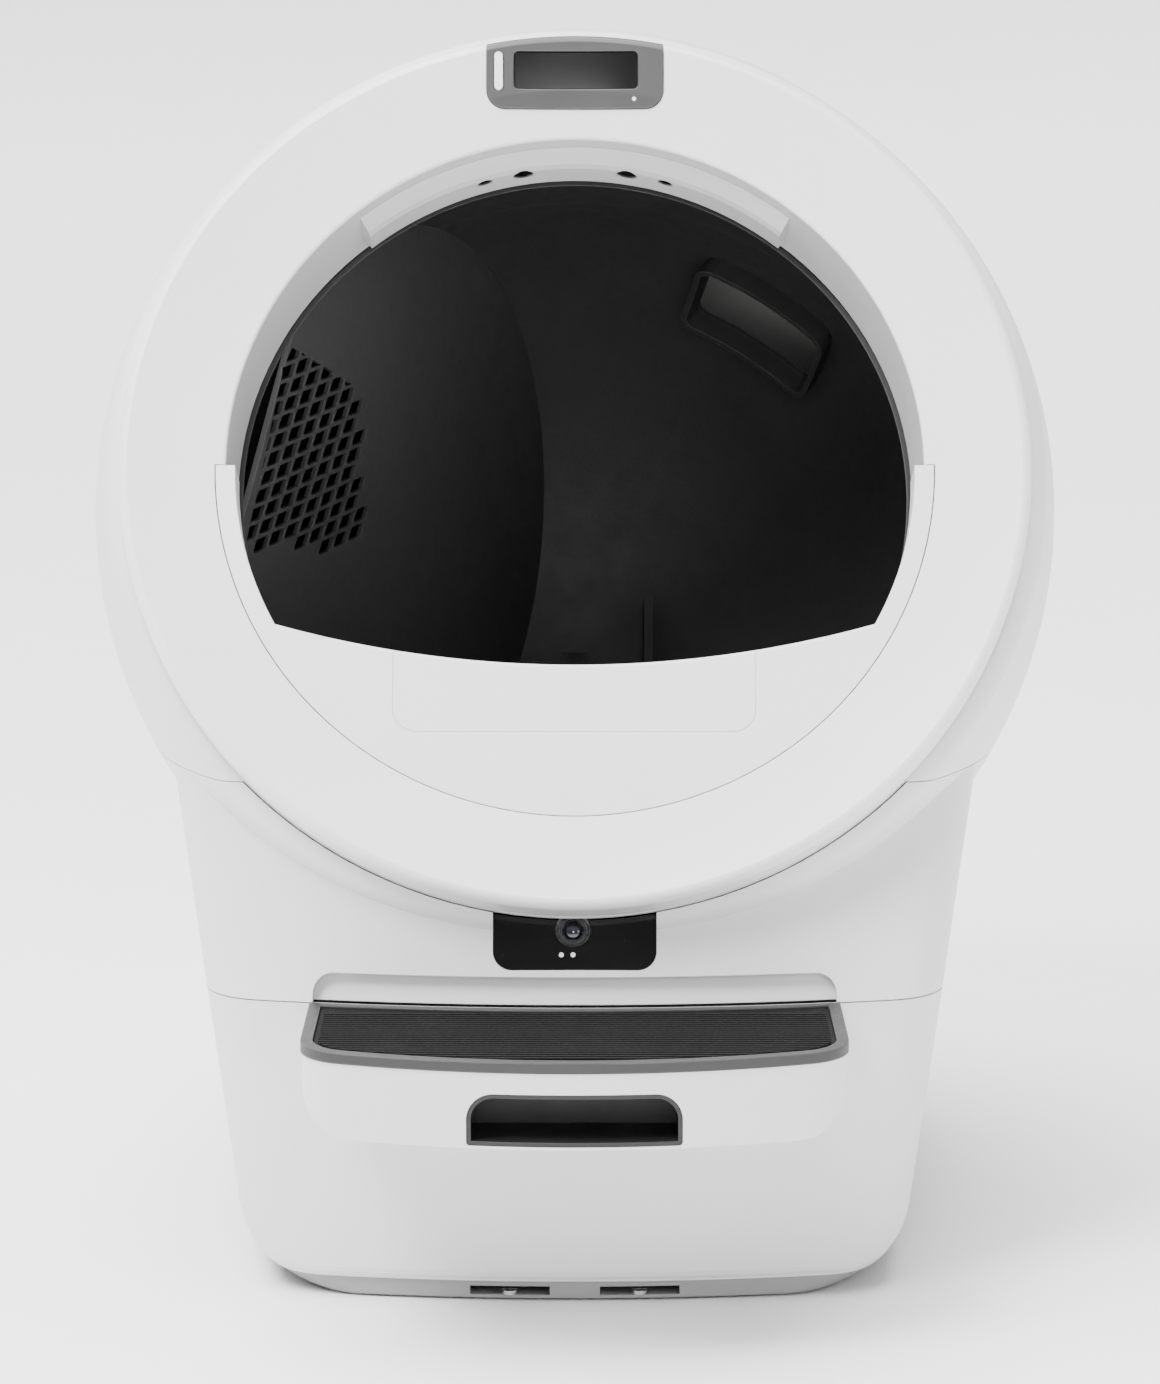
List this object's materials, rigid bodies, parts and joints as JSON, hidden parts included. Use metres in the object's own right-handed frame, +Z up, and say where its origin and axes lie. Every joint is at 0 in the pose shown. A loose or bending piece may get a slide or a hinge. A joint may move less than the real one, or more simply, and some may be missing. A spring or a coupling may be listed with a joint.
{
  "type": "cat litter box with hood",
  "caption": "Powered litter box: rotating globe in a round hood with a leaning entry ring, waste drawer with step, front camera and display.",
  "frame": {"origin": "centre of the overall outline, on the floor", "axes": "+Z up, +Y from the entry to the back, +X to the right as seen from the front"},
  "size_m": [0.5779, 0.7028, 0.719],
  "materials": {
    "shell_white": "fine satin",
    "bezel_white": "fine satin",
    "collar_grey": "satin",
    "globe_black": "fine grain",
    "screen_black": "fine grain",
    "liner_rubber": "matte",
    "mat_rubber": "ribbed matte",
    "trim_grey": "fine grain",
    "display_grey": "fine grain",
    "black_glass": "polished",
    "lens_glass": "polished",
    "lens_black": "satin",
    "light_white": "satin",
    "plinth_grey": "satin",
    "inner_grey": "satin",
    "foot_rubber": "matte",
    "steel": "machined",
    "motor_steel": "drawn can",
    "gear_nylon": "satin",
    "carbon": "felt",
    "board_green": "solder mask",
    "jack_black": "satin"
  },
  "bodies": {
    "base": {"base_housing": "shell_white", "base_plate": "plinth_grey", "rubber_feet": "foot_rubber", "load_cells": "steel", "plinth_screws": "steel", "drawer_rails": "inner_grey", "globe_deck": "inner_grey", "port_seal": "liner_rubber", "drawer_seal": "liner_rubber", "rear_cover": "shell_white", "rear_screws": "steel", "power_inlet": "jack_black", "control_board": "board_green", "camera_window": "black_glass", "camera_barrel": "lens_black", "camera_lens": "lens_glass", "camera_lights": "light_white", "hinge_ears": "shell_white", "hinge_pins": "steel", "gearbox": "inner_grey", "drive_motor": "motor_steel", "motor_bracket": "inner_grey", "roller_brackets": "inner_grey", "roller_pins": "steel"},
    "hood": {"hood_shell": "shell_white", "bezel": "bezel_white", "entry_collar": "collar_grey", "sensor_pod": "collar_grey", "sensor_windows": "black_glass", "hood_gasket": "liner_rubber", "display_housing": "display_grey", "display_screen": "black_glass", "status_led": "light_white", "hood_knuckles": "shell_white"},
    "fence": {"entry_fence": "bezel_white"},
    "key": {"display_key": "light_white"},
    "latch_left": {"latch_left": "shell_white"},
    "latch_right": {"latch_right": "shell_white"},
    "globe": {"globe_front": "globe_black", "globe_rear": "globe_black", "waste_port_frame": "globe_black", "ring_gear": "gear_nylon", "globe_tracks": "globe_black", "litter_liner": "liner_rubber", "sifting_screen": "screen_black", "screen_frame": "globe_black"},
    "pinion": {"drive_pinion": "gear_nylon"},
    "drawer": {"drawer_front": "shell_white", "drawer_tray": "inner_grey", "liner_frame": "inner_grey", "filter_cage": "inner_grey", "carbon_filter": "carbon", "step_shell": "shell_white", "handle_lining": "trim_grey", "mat_trim": "trim_grey", "step_mat": "mat_rubber"},
    "roller_front_left": {"roller_front_left": "gear_nylon"},
    "roller_rear_left": {"roller_rear_left": "gear_nylon"},
    "roller_front_right": {"roller_front_right": "gear_nylon"},
    "roller_rear_right": {"roller_rear_right": "gear_nylon"}
  },
  "joints": [
    {"name": "globe_spin", "type": "hinge", "parent": "base", "child": "globe", "pos_m": [0, 0.0589, 0.39265], "axis": [0, -0.91, 0.4147], "continuous": true},
    {"name": "pinion_spin", "type": "hinge", "parent": "base", "child": "pinion", "pos_m": [0.1888, -0.01939, 0.22085], "axis": [0, -0.91, 0.4147], "continuous": true},
    {"name": "hood_tip", "type": "hinge", "parent": "base", "child": "hood", "pos_m": [0, 0.34, 0.291], "axis": [-1, 0, 0], "range_deg": [0, 65]},
    {"name": "drawer_slide", "type": "slide", "parent": "base", "child": "drawer", "axis": [0, -1, 0], "range_m": [0, 0.3]},
    {"name": "fence_lift", "type": "slide", "parent": "hood", "child": "fence", "axis": [0, -0.91, 0.4147], "range_m": [0, 0.05]},
    {"name": "key_press", "type": "slide", "parent": "hood", "child": "key", "axis": [0, 0.91, -0.4147], "range_m": [0, 0.0012], "stiffness_N_per_m": 400},
    {"name": "latch_left_press", "type": "slide", "parent": "hood", "child": "latch_left", "axis": [1, 0, 0], "range_m": [0, 0.004], "stiffness_N_per_m": 500},
    {"name": "latch_right_press", "type": "slide", "parent": "hood", "child": "latch_right", "axis": [-1, 0, 0], "range_m": [0, 0.004], "stiffness_N_per_m": 500},
    {"name": "roller_front_left_spin", "type": "hinge", "parent": "base", "child": "roller_front_left", "pos_m": [-0.13584, -0.06219, 0.20892], "axis": [0, -0.91, 0.4147], "continuous": true},
    {"name": "roller_rear_left_spin", "type": "hinge", "parent": "base", "child": "roller_rear_left", "pos_m": [-0.13584, -0.00031, 0.18072], "axis": [0, -0.91, 0.4147], "continuous": true},
    {"name": "roller_front_right_spin", "type": "hinge", "parent": "base", "child": "roller_front_right", "pos_m": [0.13584, -0.06219, 0.20892], "axis": [0, -0.91, 0.4147], "continuous": true},
    {"name": "roller_rear_right_spin", "type": "hinge", "parent": "base", "child": "roller_rear_right", "pos_m": [0.13584, -0.00031, 0.18072], "axis": [0, -0.91, 0.4147], "continuous": true}
  ],
  "couplings": [
    {"joint": "pinion_spin", "follows": "globe_spin", "ratio": -11.714},
    {"joint": "roller_front_left_spin", "follows": "globe_spin", "ratio": -16.067},
    {"joint": "roller_rear_left_spin", "follows": "globe_spin", "ratio": -16.067},
    {"joint": "roller_front_right_spin", "follows": "globe_spin", "ratio": -16.067},
    {"joint": "roller_rear_right_spin", "follows": "globe_spin", "ratio": -16.067}
  ]
}
